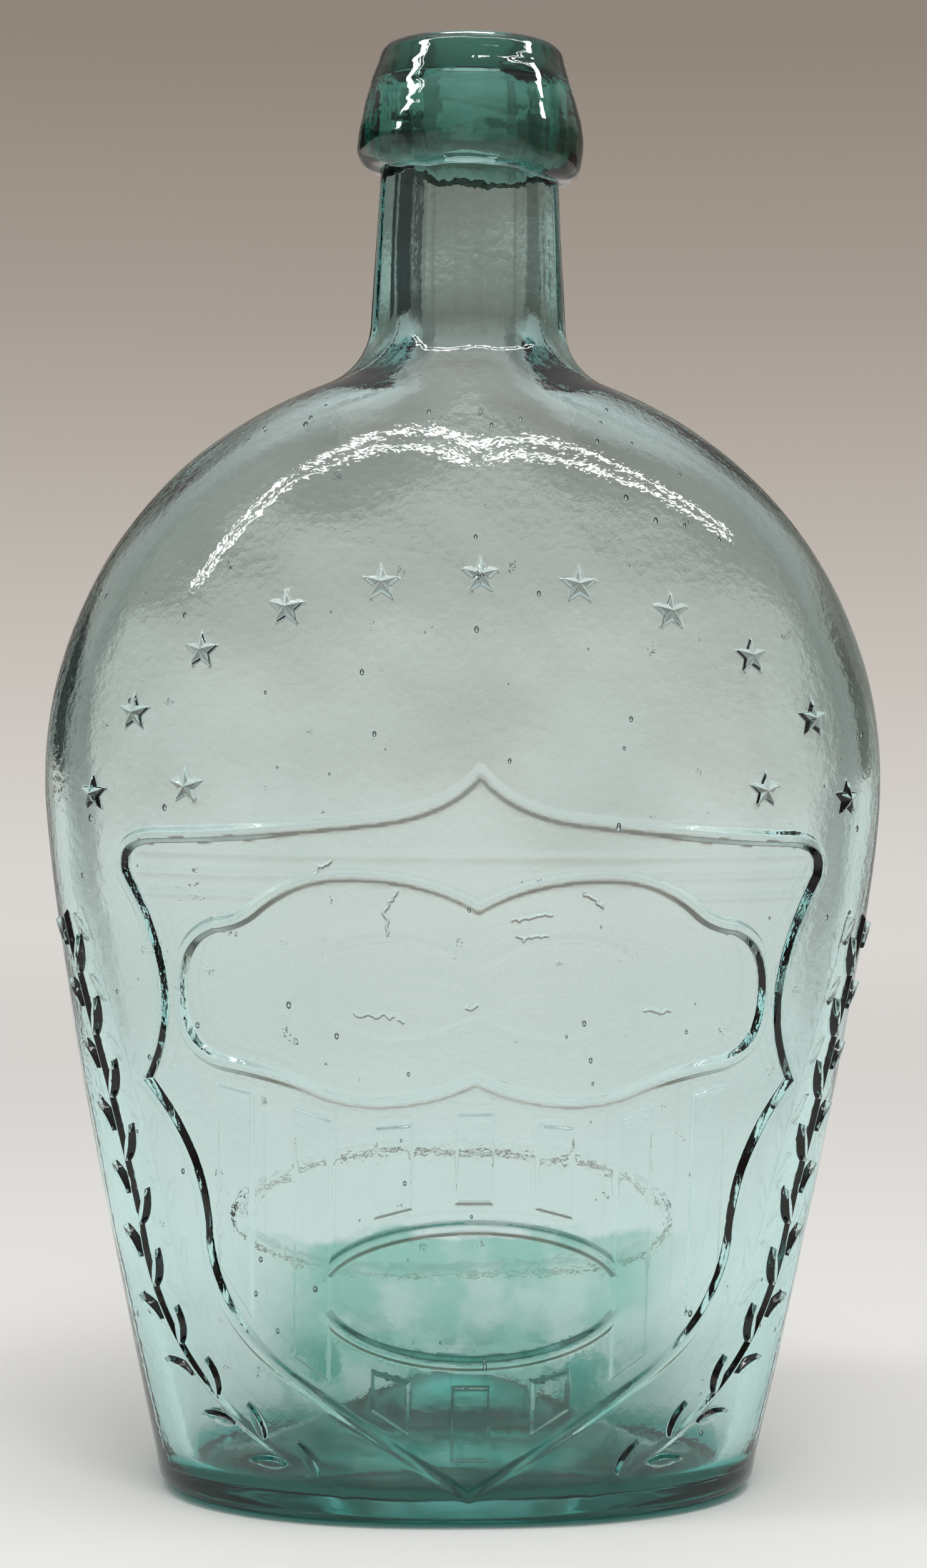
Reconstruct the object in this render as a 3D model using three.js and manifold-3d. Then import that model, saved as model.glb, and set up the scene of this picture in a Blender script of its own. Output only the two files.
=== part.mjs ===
// A mould-blown glass flask with a relief front, and the collar of glass laid
// round the sheared end of its neck. Millimetres, +Z up. The front faces -Y and
// the origin is on the table, under the middle of the base.
import * as THREE from 'three';
import { mergeVertices } from 'three/addons/utils/BufferGeometryUtils.js';
import Module from 'manifold-3d';

const wasm = await Module();
wasm.setup();

// Body outline
const BODY_WIDTH = 128.8;
const BODY_DEPTH = 80;
const BASE_WIDTH = 93;
const BASE_DEPTH = 60;
const WIDEST_HEIGHT = 109.2; // table to the widest line
const FLANK_BEND = 21; // how far below the widest line the flanks begin to draw in
const SHOULDER_RISE = 70.1; // widest line to the foot of the neck
const SECTION_POWER = 2.3; // 2 is an ellipse, more is squarer
const HEEL_ROUND = 4;
const PUSH_UP = 4; // hollow under the base
const BEARING_WIDTH = 8; // flat ring that the flask stands on

// Glass thickness
const BODY_WALL = 3.2;
const HEEL_WALL = 5; // the wall thickens down to the heel
const FLOOR_THICKNESS = 3.2; // at the inner heel
const FLOOR_MOUND = 13; // how far the inside floor swells up in the middle
const INNER_HEEL_ROUND = 4;
const BORE_FOOT_DIAMETER = 18.6; // at the foot of the neck
const BORE_END_DIAMETER = 17.4; // at the mouth

// Neck
const NECK_FOOT_DIAMETER = 29.6;
const NECK_END_DIAMETER = 26;
const NECK_LENGTH = 22.2; // foot of the neck to the underside of the collar
const NECK_FILLET = 10;

// Applied collar
const COLLAR_HEIGHT = 20.5;
const COLLAR_CROWN = 6; // glass above the sheared end of the neck
const COLLAR_LIP_STEP = 0.4; // how far the lip stands out past the end of the neck
const COLLAR_SWELL = 3.8; // how far the widest line stands out from the neck
const COLLAR_SKIRT = 4.5; // widest line to the underside
const COLLAR_SLANT = 1.1; // how far the underside drops on the right and rises on the left
const LIP_ROUND = 2;
const FUSE_GAP = 0.3; // clearance between the neck and the collar
const CUT_OVERRUN = 1; // how far the bore's cut runs past the end of the neck

// Relief
const RIDGE_WIDTH = 2.4;
const RIDGE_HEIGHT = 1.2;
const FINE_RIDGE_WIDTH = 1.6;
const FINE_RIDGE_HEIGHT = 0.5;
const RIDGE_CROWN = 0.45; // width along the top, as a share of the width at the wall
const RELIEF_ROOT = 0.8; // how deep the relief is set into the wall

const SHIELD_WIDTH = 107;
const SHIELD_HEIGHT = 107;
const SHIELD_TIP_HEIGHT = 5;
const RIB_COUNT = 3; // across the head of the shield
const RIB_PITCH = 3;
const RIB_DROP = 12.2; // peak of the shield to the first rib
const BAR_COUNT = 7;
const BAR_PITCH = 11.7;
const BAR_WIDTH = 5.8;
const BAR_HEIGHT = 0.5;
const BAR_CROWN = 0.9; // size of a bar's flat top, as a share of its outline
const BAR_MARGIN = 3.4; // from a bar's end to the middle of the next ridge

const FRAME_WIDTH = 88;
const FRAME_HEIGHT = 33;
const FRAME_FOOT_HEIGHT = 64;

const OVAL_WIDTH = 45;
const OVAL_HEIGHT = 20.5;
const OVAL_CENTRE_HEIGHT = 35.5;
const BACK_OVAL_WIDTH = 74;

const STAR_RADIUS = 2.9;
const STAR_RISE = 1.1;
const STARS_EACH_SIDE = 5;
const STAR_PITCH = 14.3;
const STAR_ARC_WIDTH = 125;
const STAR_ARC_RISE = 46;
const STAR_ARC_CENTRE_HEIGHT = 94;
const LOWER_STAR_OFFSET = 42.9;
const LOWER_STAR_HEIGHT = 109.4;

const LAUREL_HEIGHT = 84;
const LAUREL_SPREAD = 51;
const LAUREL_FOOT_OFFSET = 18;
const LAUREL_FOOT_HEIGHT = 5;
const LEAF_LENGTH = 6;
const LEAF_WIDTH = 2.3;
const LEAF_RISE = 1;
const LEAF_PITCH = 4.9; // along the stem, one side and then the other
const LEAF_STALK = 0.6; // from the middle of the stem to the foot of a leaf
const LEAF_SPLAY = 0.5; // radians from the stem

// Facets
const AROUND_BODY = 52;
const AROUND_CAVITY = 32;
const AROUND_COLLAR = 40;
const OUTLINE_STEPS = 4; // per curve of an outline
const SIZE_STEPS = 32; // per curve, where a size is read off an outline
const GIRTH_STEPS = 90;
const LOOP_STEPS = 3; // per curve of a relief loop
const OVAL_STEPS = 30;
const STEM_STEPS = 18;

const neckFootHeight = WIDEST_HEIGHT + SHOULDER_RISE;
const collarFoot = neckFootHeight + NECK_LENGTH;
const lipHeight = collarFoot + COLLAR_HEIGHT;
const neckEnd = lipHeight - COLLAR_CROWN;
const neckFootRadius = NECK_FOOT_DIAMETER / 2;
const neckEndRadius = NECK_END_DIAMETER / 2;
const boreRadius = BORE_END_DIAMETER / 2;

function neckRadius(height) {
  const share = (height - neckFootHeight) / (neckEnd - neckFootHeight);
  return THREE.MathUtils.lerp(neckFootRadius, neckEndRadius, share);
}

// Radius of the shoulder arc that meets both the widest line and the fillet of the neck.
function shoulderArc(widest) {
  const reach = neckFootRadius + NECK_FILLET - widest;
  return (reach ** 2 - NECK_FILLET ** 2 + SHOULDER_RISE ** 2) / (2 * (NECK_FILLET - reach));
}

// Half outline of the body in one view: heel, flank, shoulder arc, fillet, neck.
function halfOutline({ base, widest, arc, floor, heel, fillet, foot, end, top }) {
  const across = foot + fillet - widest + arc;
  const rise = Math.sqrt((arc + fillet) ** 2 - across ** 2);
  const turn = Math.atan2(rise, across);
  const outline = new THREE.Path();
  outline.moveTo(base - heel, floor);
  outline.quadraticCurveTo(base, floor, base, floor + heel);
  outline.quadraticCurveTo(widest, WIDEST_HEIGHT - FLANK_BEND, widest, WIDEST_HEIGHT);
  outline.absarc(widest - arc, WIDEST_HEIGHT, arc, 0, turn, false);
  outline.absarc(foot + fillet, WIDEST_HEIGHT + rise, fillet, turn + Math.PI, Math.PI, true);
  outline.lineTo(end, top);
  return outline;
}

// Turns an outline's points into a half size for each height.
function sizeByHeight(outline) {
  const points = outline.getPoints(SIZE_STEPS);
  return (height) => {
    const above = points.findIndex((point) => point.y >= height);
    if (above < 1) {
      return points.at(above).x;
    }
    const [low, high] = [points[above - 1], points[above]];
    return THREE.MathUtils.mapLinear(height, low.y, high.y, low.x, high.x);
  };
}

// Oval sections stacked up the flask, from its outlines in the front and side views.
function ovalTower(frontSizes, sideSizes, sharedSizes) {
  const front = halfOutline({ ...frontSizes, ...sharedSizes });
  const side = halfOutline({ ...sideSizes, ...sharedSizes });
  const halfWidth = sizeByHeight(front);
  const halfDepth = sizeByHeight(side);
  const heights = front.getPoints(OUTLINE_STEPS).map((point) => point.y);
  return { halfWidth, halfDepth, heights };
}

function outerTower() {
  const view = (base, width) => ({ base: base / 2, widest: width / 2, arc: shoulderArc(width / 2) });
  const neck = { fillet: NECK_FILLET, foot: neckFootRadius, end: neckEndRadius, top: neckEnd };
  const shared = { floor: 0, heel: HEEL_ROUND, ...neck };
  return ovalTower(view(BASE_WIDTH, BODY_WIDTH), view(BASE_DEPTH, BODY_DEPTH), shared);
}

// The inside keeps a wall's thickness from the outer outline, up to the bore of the neck.
function innerTower() {
  const heelTop = FLOOR_THICKNESS + INNER_HEEL_ROUND;
  const view = (halfSize, width) => ({
    base: halfSize(heelTop) - HEEL_WALL,
    widest: width / 2 - BODY_WALL,
    arc: shoulderArc(width / 2) - BODY_WALL,
  });
  const foot = BORE_FOOT_DIAMETER / 2;
  const bore = { fillet: NECK_FILLET + BODY_WALL, foot, end: boreRadius, top: neckEnd + CUT_OVERRUN };
  const shared = { floor: FLOOR_THICKNESS, heel: INNER_HEEL_ROUND, ...bore };
  return ovalTower(view(outer.halfWidth, BODY_WIDTH), view(outer.halfDepth, BODY_DEPTH), shared);
}

function sectionPower(height) {
  const share = THREE.MathUtils.smoothstep(height, WIDEST_HEIGHT, neckFootHeight);
  return THREE.MathUtils.lerp(SECTION_POWER, 2, share);
}

// A point on an oval section; the angle starts at the front and goes towards +X.
function sectionPoint(halfWidth, halfDepth, height, angle) {
  const power = 2 / sectionPower(height);
  const across = Math.sin(angle);
  const along = -Math.cos(angle);
  return new THREE.Vector3(
    halfWidth * Math.sign(across) * Math.abs(across) ** power,
    halfDepth * Math.sign(along) * Math.abs(along) ** power,
    height,
  );
}

function sectionRing(halfWidth, halfDepth, height, count) {
  return Array.from({ length: count }, (_, index) => {
    const angle = (index / count) * 2 * Math.PI;
    return sectionPoint(halfWidth, halfDepth, height, angle);
  });
}

// A closed skin over rings of equal counts: capped at both ends, or joined in a loop.
// With a tip, the last ring runs up to a point.
function skin(rings, isLoop = false, tip = null) {
  const count = rings[0].length;
  const points = rings.flat();
  const faces = [];
  const links = isLoop ? rings.length : rings.length - 1;
  for (let ring = 0; ring < links; ring += 1) {
    const here = ring * count;
    const next = ((ring + 1) % rings.length) * count;
    for (let index = 0; index < count; index += 1) {
      const after = (index + 1) % count;
      faces.push(here + index, here + after, next + after);
      faces.push(here + index, next + after, next + index);
    }
  }
  if (!isLoop) {
    addCap(points, faces, rings[0], 0, middleOf(rings[0]), true);
    addCap(points, faces, rings.at(-1), points.length - 1 - count, tip ?? middleOf(rings.at(-1)), false);
  }
  const geometry = new THREE.BufferGeometry().setFromPoints(points);
  geometry.setIndex(faces);
  return geometry;
}

function addCap(points, faces, rim, start, centre, isFirst) {
  const middle = points.push(centre) - 1;
  rim.forEach((_, index) => {
    const here = start + index;
    const after = start + ((index + 1) % rim.length);
    faces.push(...(isFirst ? [after, here, middle] : [here, after, middle]));
  });
}

function middleOf(points) {
  const sum = points.reduce((total, point) => total.add(point), points[0].clone().setScalar(0));
  return sum.divideScalar(points.length);
}

// Solids for joining and cutting, with their faces turned outwards.
function toSolid(geometry) {
  const closed = geometry.clone();
  closed.deleteAttribute('normal');
  closed.deleteAttribute('uv');
  const merged = mergeVertices(closed, 1e-4);
  const triVerts = Uint32Array.from(merged.index.array);
  const vertProperties = Float32Array.from(merged.attributes.position.array);
  if (signedVolume(vertProperties, triVerts) < 0) {
    triVerts.reverse();
  }
  return new wasm.Manifold(new wasm.Mesh({ numProp: 3, vertProperties, triVerts }));
}

function signedVolume(coordinates, corners) {
  const corner = (index) => new THREE.Vector3().fromArray(coordinates, corners[index] * 3);
  let volume = 0;
  for (let index = 0; index < corners.length; index += 3) {
    volume += corner(index).dot(corner(index + 1).cross(corner(index + 2)));
  }
  return volume;
}

function toGeometry(solid) {
  const mesh = solid.getMesh();
  const geometry = new THREE.BufferGeometry();
  geometry.setAttribute('position', new THREE.BufferAttribute(mesh.vertProperties, mesh.numProp));
  geometry.setIndex(new THREE.BufferAttribute(mesh.triVerts, 1));
  geometry.computeVertexNormals();
  return geometry;
}

const outer = outerTower();
const inner = innerTower();

// Relief is laid out by its distance round the body from the middle of a face and
// by its height. This finds that spot on the outside; a turn of PI gives the back.
function spotOnWall(distance, height, turn = 0) {
  const halfWidth = outer.halfWidth(height);
  const halfDepth = outer.halfDepth(height);
  let walked = 0;
  let angle = 0;
  let here = sectionPoint(halfWidth, halfDepth, height, 0);
  const step = Math.PI / GIRTH_STEPS;
  while (angle < Math.PI) {
    const next = sectionPoint(halfWidth, halfDepth, height, angle + step);
    const length = here.distanceTo(next);
    if (walked + length > Math.abs(distance)) {
      here.lerp(next, (Math.abs(distance) - walked) / length);
      break;
    }
    walked += length;
    angle += step;
    here = next;
  }
  here.x *= Math.sign(distance);
  return here.applyAxisAngle(new THREE.Vector3(0, 0, 1), turn);
}

// A spot raised above the wall, or sunk into it, along the wall's own normal.
function raisedSpot(distance, height, rise, turn = 0) {
  const reach = 0.5;
  const across = spotOnWall(distance + reach, height, turn).sub(spotOnWall(distance - reach, height, turn));
  const up = spotOnWall(distance, height + reach, turn).sub(spotOnWall(distance, height - reach, turn));
  const normal = across.cross(up).normalize();
  return spotOnWall(distance, height, turn).addScaledVector(normal, rise);
}

// How much wider a shape is at its root, when its sides slope in to a narrower crown.
function rootShare(rise, crownShare) {
  return 1 + ((1 - crownShare) * RELIEF_ROOT) / rise;
}

// A ridge with sloping sides along a line of layout points.
function ridge(line, isLoop, width = RIDGE_WIDTH, rise = RIDGE_HEIGHT, turn = 0) {
  const crown = (width / 2) * RIDGE_CROWN;
  const root = (width / 2) * rootShare(rise, RIDGE_CROWN);
  const section = [[-root, -RELIEF_ROOT], [root, -RELIEF_ROOT], [crown, rise], [-crown, rise]];
  const last = line.length - 1;
  const rings = line.map((point, index) => {
    const before = index > 0 || isLoop ? line.at(index - 1) : point;
    const after = index < last || isLoop ? line[(index + 1) % line.length] : point;
    const aside = mitre(before, point, after);
    return section.map(([across, lift]) => {
      const spot = point.clone().addScaledVector(aside, across);
      return raisedSpot(spot.x, spot.y, lift, turn);
    });
  });
  return toSolid(skin(rings, isLoop));
}

// The sideways direction at a corner, lengthened so that the ridge keeps its width.
function mitre(before, point, after) {
  const arriving = point.clone().sub(before);
  const leaving = after.clone().sub(point);
  const entry = arriving.lengthSq() > 0 ? arriving.normalize() : leaving.clone().normalize();
  const exit = leaving.lengthSq() > 0 ? leaving.normalize() : entry;
  const along = entry.clone().add(exit).normalize();
  const longest = 1.6;
  const stretch = Math.min(1 / Math.max(along.dot(entry), 1 / longest), longest);
  return new THREE.Vector2(along.y, -along.x).multiplyScalar(stretch);
}

// An outline grown or shrunk about its middle and raised above the wall.
function patchRing(outline, share, rise) {
  const centre = middleOf(outline);
  return outline.map((point) => {
    const spot = centre.clone().lerp(point, share);
    return raisedSpot(spot.x, spot.y, rise);
  });
}

// A raised panel with sloping sides and a flat crown.
function panel(outline, rise, crownShare) {
  const root = patchRing(outline, rootShare(rise, crownShare), -RELIEF_ROOT);
  return toSolid(skin([root, patchRing(outline, crownShare, rise)]));
}

// A raised patch whose sides run up to a point over its middle.
function peak(outline, rise) {
  const root = patchRing(outline, rootShare(rise, 0), -RELIEF_ROOT);
  const centre = middleOf(outline);
  return toSolid(skin([root], false, raisedSpot(centre.x, centre.y, rise)));
}

// Half outlines in shares of a motif's half width and height become whole loops.
function mirroredLoop(half, width, height, foot) {
  const place = (point) => new THREE.Vector2(point.x * width / 2, foot + point.y * height);
  const right = half.getPoints(LOOP_STEPS).map(place);
  const left = right.slice(1, -1).reverse().map((point) => new THREE.Vector2(-point.x, point.y));
  return [...right, ...left];
}

function shieldLoop() {
  const half = new THREE.Path();
  half.moveTo(0, 1);
  half.quadraticCurveTo(0.09, 0.945, 0.28, 0.934);
  half.quadraticCurveTo(0.6, 0.915, 0.89, 0.909);
  half.quadraticCurveTo(1.03, 0.905, 1, 0.853);
  half.quadraticCurveTo(0.79, 0.69, 0.942, 0.57);
  half.quadraticCurveTo(0.75, 0.48, 0.746, 0.355);
  half.quadraticCurveTo(0.715, 0.23, 0.46, 0.152);
  half.quadraticCurveTo(0.2, 0.065, 0, 0);
  return mirroredLoop(half, SHIELD_WIDTH, SHIELD_HEIGHT, SHIELD_TIP_HEIGHT);
}

function frameLoop() {
  const half = new THREE.Path();
  half.moveTo(0, 0.864);
  half.quadraticCurveTo(0.16, 0.99, 0.386, 1);
  half.quadraticCurveTo(0.6, 1.01, 0.736, 0.848);
  half.quadraticCurveTo(0.79, 0.785, 0.87, 0.775);
  half.quadraticCurveTo(1, 0.72, 1, 0.485);
  half.quadraticCurveTo(1, 0.2, 0.825, 0.158);
  half.quadraticCurveTo(0.65, 0.125, 0.5, 0.036);
  half.quadraticCurveTo(0.36, -0.02, 0.227, 0.012);
  half.quadraticCurveTo(0.11, 0.03, 0, 0.106);
  return mirroredLoop(half, FRAME_WIDTH, FRAME_HEIGHT, FRAME_FOOT_HEIGHT);
}

function ovalLoop(width) {
  const curve = new THREE.EllipseCurve(0, OVAL_CENTRE_HEIGHT, width / 2, OVAL_HEIGHT / 2);
  return curve.getSpacedPoints(OVAL_STEPS).slice(0, OVAL_STEPS);
}

// Where a loop crosses an upright line, from low to high.
function crossings(loop, distance) {
  const heights = [];
  loop.forEach((point, index) => {
    const next = loop[(index + 1) % loop.length];
    if ((point.x <= distance) !== (next.x <= distance)) {
      heights.push(THREE.MathUtils.mapLinear(distance, point.x, next.x, point.y, next.y));
    }
  });
  return heights.sort((low, high) => low - high);
}

// Ribs across the head of the shield, broken where the frame rises through them.
function headRibs(shield, frame) {
  const first = SHIELD_TIP_HEIGHT + SHIELD_HEIGHT - RIB_DROP;
  const swap = (loop) => loop.map((point) => new THREE.Vector2(point.y, point.x));
  const ribs = [];
  for (let row = 0; row < RIB_COUNT; row += 1) {
    const height = first - row * RIB_PITCH;
    const right = crossings(swap(shield), height).at(-1) - RIDGE_WIDTH;
    const hits = crossings(swap(frame), height);
    const start = hits.length ? hits.at(-1) + RIDGE_WIDTH : -right;
    const rib = [0, 1 / 3, 2 / 3, 1].map((share) => {
      return new THREE.Vector2(THREE.MathUtils.lerp(start, right, share), height);
    });
    ribs.push(rib);
    if (hits.length) {
      ribs.push(rib.map((point) => new THREE.Vector2(-point.x, point.y)));
    }
  }
  return ribs.map((rib) => ridge(rib, false, FINE_RIDGE_WIDTH, FINE_RIDGE_HEIGHT));
}

// Upright bars from under the frame to the edge of the shield, parted by the oval.
function shieldBars(shield, frame, oval) {
  const bars = [];
  for (let index = 0; index < BAR_COUNT; index += 1) {
    const middle = (index - (BAR_COUNT - 1) / 2) * BAR_PITCH;
    const sides = [middle - BAR_WIDTH / 2, middle + BAR_WIDTH / 2];
    const floors = sides.map((side) => crossings(shield, side)[0] + BAR_MARGIN);
    const tops = sides.map((side) => crossings(frame, side)[0] - BAR_MARGIN);
    const holes = sides.map((side) => crossings(oval, side));
    if (holes.every((hole) => hole.length === 2)) {
      bars.push(barOutline(sides, holes.map((hole) => hole[1] + BAR_MARGIN), tops));
      bars.push(barOutline(sides, floors, holes.map((hole) => hole[0] - BAR_MARGIN)));
    } else {
      bars.push(barOutline(sides, floors, tops));
    }
  }
  return bars.map((outline) => panel(outline, BAR_HEIGHT, BAR_CROWN));
}

function barOutline([left, right], [lowLeft, lowRight], [highLeft, highRight]) {
  return [
    new THREE.Vector2(left, lowLeft),
    new THREE.Vector2(right, lowRight),
    new THREE.Vector2(right, highRight),
    new THREE.Vector2(left, highLeft),
  ];
}

function star(centre) {
  const points = 5;
  const waist = 0.45;
  const outline = Array.from({ length: points * 2 }, (_, index) => {
    const radius = index % 2 ? STAR_RADIUS * waist : STAR_RADIUS;
    const angle = Math.PI / 2 + (index * Math.PI) / points;
    return new THREE.Vector2(centre.x + radius * Math.cos(angle), centre.y + radius * Math.sin(angle));
  });
  return peak(outline, STAR_RISE);
}

// Stars at an even pitch along an arch over the shield, and one at each end below it.
function stars() {
  const radii = [STAR_ARC_WIDTH / 2, STAR_ARC_RISE];
  const arch = new THREE.EllipseCurve(0, STAR_ARC_CENTRE_HEIGHT, ...radii, Math.PI / 2, -Math.PI / 2, true);
  const length = arch.getLength();
  const centres = [arch.getPointAt(0)];
  for (let index = 1; index <= STARS_EACH_SIDE; index += 1) {
    const right = arch.getPointAt((index * STAR_PITCH) / length);
    centres.push(right, new THREE.Vector2(-right.x, right.y));
  }
  for (const side of [-1, 1]) {
    centres.push(new THREE.Vector2(side * LOWER_STAR_OFFSET, LOWER_STAR_HEIGHT));
  }
  return centres.map(star);
}

function leaf(foot, direction) {
  const aside = new THREE.Vector2(-direction.y, direction.x);
  const shape = [[0, 0], [0.3, -0.5], [0.7, -0.4], [1, 0], [0.7, 0.4], [0.3, 0.5]];
  const outline = shape.map(([along, across]) => {
    const point = foot.clone().addScaledVector(direction, along * LEAF_LENGTH);
    return point.addScaledVector(aside, across * LEAF_WIDTH);
  });
  return peak(outline, LEAF_RISE);
}

// A laurel branch up one side: a stem with leaves to its left and right in turn.
function laurel(side) {
  const place = (across, up) => [
    side * (LAUREL_FOOT_OFFSET + across * LAUREL_SPREAD),
    LAUREL_FOOT_HEIGHT + up * LAUREL_HEIGHT,
  ];
  const stem = new THREE.Path();
  stem.moveTo(...place(0, 0));
  stem.quadraticCurveTo(...place(0.57, 0.167), ...place(0.667, 0.417));
  stem.quadraticCurveTo(...place(0.745, 0.655), ...place(1, 1));
  const pieces = [ridge(stem.getSpacedPoints(STEM_STEPS), false, FINE_RIDGE_WIDTH, FINE_RIDGE_HEIGHT)];
  const length = stem.getLength();
  const centre = new THREE.Vector2();
  for (let index = 1; index * LEAF_PITCH < length; index += 1) {
    const hand = index % 2 ? 1 : -1;
    const share = (index * LEAF_PITCH) / length;
    const along = stem.getTangentAt(share);
    const aside = along.clone().rotateAround(centre, (hand * Math.PI) / 2);
    const foot = stem.getPointAt(share).addScaledVector(aside, LEAF_STALK);
    pieces.push(leaf(foot, along.rotateAround(centre, hand * LEAF_SPLAY)));
  }
  return pieces;
}

function frontRelief() {
  const shield = shieldLoop();
  const frame = frameLoop();
  const oval = ovalLoop(OVAL_WIDTH);
  return [
    ridge(shield, true),
    ridge(frame, true),
    ridge(oval, true),
    ...headRibs(shield, frame),
    ...shieldBars(shield, frame, oval),
    ...stars(),
    ...laurel(-1),
    ...laurel(1),
  ];
}

function backRelief() {
  return [ridge(ovalLoop(BACK_OVAL_WIDTH), true, RIDGE_WIDTH, FINE_RIDGE_HEIGHT, Math.PI)];
}

// Rings over the swelling middle of the base, out to the flat ring round it.
function baseRings(floor, swell, count) {
  const halfWidth = BASE_WIDTH / 2 - HEEL_ROUND - BEARING_WIDTH;
  const halfDepth = BASE_DEPTH / 2 - HEEL_ROUND - BEARING_WIDTH;
  return [0.1, 0.35, 0.55, 0.75, 1].map((share) => {
    const height = floor + swell * (1 - share ** 2) ** 2;
    return sectionRing(halfWidth * share, halfDepth * share, height, count);
  });
}

function wallRings(tower, count) {
  return tower.heights.map((height) => {
    return sectionRing(tower.halfWidth(height), tower.halfDepth(height), height, count);
  });
}

// The blown wall from the hollow under the base up to the sheared end of the neck.
function blownWall() {
  return toSolid(skin([...baseRings(0, PUSH_UP, AROUND_BODY), ...wallRings(outer, AROUND_BODY)]));
}

function cavity() {
  const floor = baseRings(FLOOR_THICKNESS, FLOOR_MOUND, AROUND_CAVITY);
  return toSolid(skin([...floor, ...wallRings(inner, AROUND_CAVITY)]));
}

function flaskBody() {
  const relief = [...frontRelief(), ...backRelief()];
  const raised = relief.reduce((whole, piece) => whole.add(piece), blownWall());
  return toGeometry(raised.subtract(cavity()));
}

// The collar's section: bore, rounded lip, swelling side, skirt, and the seat on the neck.
function collarSection() {
  const lipRadius = neckEndRadius + COLLAR_LIP_STEP;
  const swellHeight = collarFoot + COLLAR_SKIRT;
  const swellRadius = neckRadius(swellHeight) + COLLAR_SWELL;
  const seatFoot = neckRadius(collarFoot) + FUSE_GAP;
  const seatEnd = neckEndRadius + FUSE_GAP;
  const section = new THREE.Path();
  section.moveTo(boreRadius, neckEnd + FUSE_GAP);
  section.lineTo(boreRadius, lipHeight - LIP_ROUND);
  section.quadraticCurveTo(boreRadius, lipHeight, boreRadius + LIP_ROUND, lipHeight);
  section.quadraticCurveTo(lipRadius, lipHeight, lipRadius + LIP_ROUND / 4, lipHeight - LIP_ROUND);
  section.quadraticCurveTo(swellRadius, swellHeight + COLLAR_SKIRT, swellRadius, swellHeight);
  section.quadraticCurveTo(swellRadius, collarFoot, seatFoot, collarFoot);
  section.lineTo(seatEnd, neckEnd + FUSE_GAP);
  section.closePath();
  return section.getPoints(OUTLINE_STEPS);
}

function appliedCollar() {
  const geometry = new THREE.LatheGeometry(collarSection(), AROUND_COLLAR);
  geometry.rotateX(Math.PI / 2);
  const position = geometry.attributes.position;
  const swellRadius = neckRadius(collarFoot) + COLLAR_SWELL;
  for (let index = 0; index < position.count; index += 1) {
    const height = position.getZ(index);
    const slack = 1 - THREE.MathUtils.smoothstep(height, collarFoot, collarFoot + 2 * COLLAR_SKIRT);
    position.setZ(index, height - (slack * COLLAR_SLANT * position.getX(index)) / swellRadius);
  }
  return toGeometry(toSolid(geometry));
}

const glass = { roughness: 0.05, metalness: 0, transparent: true };
const paleAqua = new THREE.MeshStandardMaterial({ color: 0xb4d6cc, opacity: 0.5, ...glass });
const deepAqua = new THREE.MeshStandardMaterial({ color: 0x7fb5a5, opacity: 0.7, ...glass });

const body = new THREE.Mesh(flaskBody(), paleAqua);
body.name = 'flask_body';
const collar = new THREE.Mesh(appliedCollar(), deepAqua);
collar.name = 'applied_collar';

const flask = new THREE.Group();
flask.add(body, collar);

export default flask;
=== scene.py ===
"""Dresses the glass flask: blown aqua glass with a relief front, waves and seeds, in soft studio light.

The body's skin is laid out flat as (turn, row). Turn is the distance round the body from the middle
of the front, as a share of half the girth. Row counts rings from the middle of the base up the
outside, over the end of the neck and down the inside to the middle of the floor. Sizes are in
millimetres and become metres when a mesh is written.
"""
import math

import bmesh
import bpy
import numpy as np
from mathutils import Euler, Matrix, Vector


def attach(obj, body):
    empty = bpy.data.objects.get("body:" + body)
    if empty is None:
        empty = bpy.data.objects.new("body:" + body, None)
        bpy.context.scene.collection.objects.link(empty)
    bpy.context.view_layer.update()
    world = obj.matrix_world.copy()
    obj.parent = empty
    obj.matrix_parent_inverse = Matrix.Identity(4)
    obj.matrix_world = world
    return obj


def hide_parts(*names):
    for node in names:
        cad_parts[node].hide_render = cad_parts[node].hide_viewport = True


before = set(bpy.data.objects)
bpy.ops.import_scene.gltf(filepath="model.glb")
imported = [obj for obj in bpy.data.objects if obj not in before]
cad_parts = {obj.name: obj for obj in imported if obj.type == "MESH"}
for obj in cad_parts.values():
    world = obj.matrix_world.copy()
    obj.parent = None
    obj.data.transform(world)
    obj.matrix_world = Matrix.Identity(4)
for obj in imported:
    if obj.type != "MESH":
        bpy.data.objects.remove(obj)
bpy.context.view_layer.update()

MM = 0.001

# Body outline, the same as the solid's
BODY_WIDTH = 128.8
BODY_DEPTH = 80
BASE_WIDTH = 93
BASE_DEPTH = 60
WIDEST_HEIGHT = 109.2
FLANK_BEND = 21
SHOULDER_RISE = 70.1
SECTION_POWER = 2.3
HEEL_ROUND = 4
PUSH_UP = 4
BEARING_WIDTH = 8

# Glass thickness
BODY_WALL = 3.2
HEEL_WALL = 5  # the wall thickens down to the heel
FLOOR_THICKNESS = 3.2
FLOOR_MOUND = 13  # how far the inside floor swells up in the middle
INNER_HEEL_ROUND = 4
BORE_FOOT_RADIUS = 9.3
BORE_END_RADIUS = 8.7

# Neck
NECK_FOOT_RADIUS = 14.8
NECK_END_RADIUS = 13
NECK_LENGTH = 22.2
NECK_FILLET = 10

# Applied collar
COLLAR_HEIGHT = 20.5
COLLAR_CROWN = 6
COLLAR_LIP_STEP = 0.4
COLLAR_SWELL = 3.8
COLLAR_SKIRT = 4.5
COLLAR_SLANT = 1.1
LIP_ROUND = 2
FUSE_OVERLAP = 0.05  # the collar and the neck are one glass, so their meshes reach into each other

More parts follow.
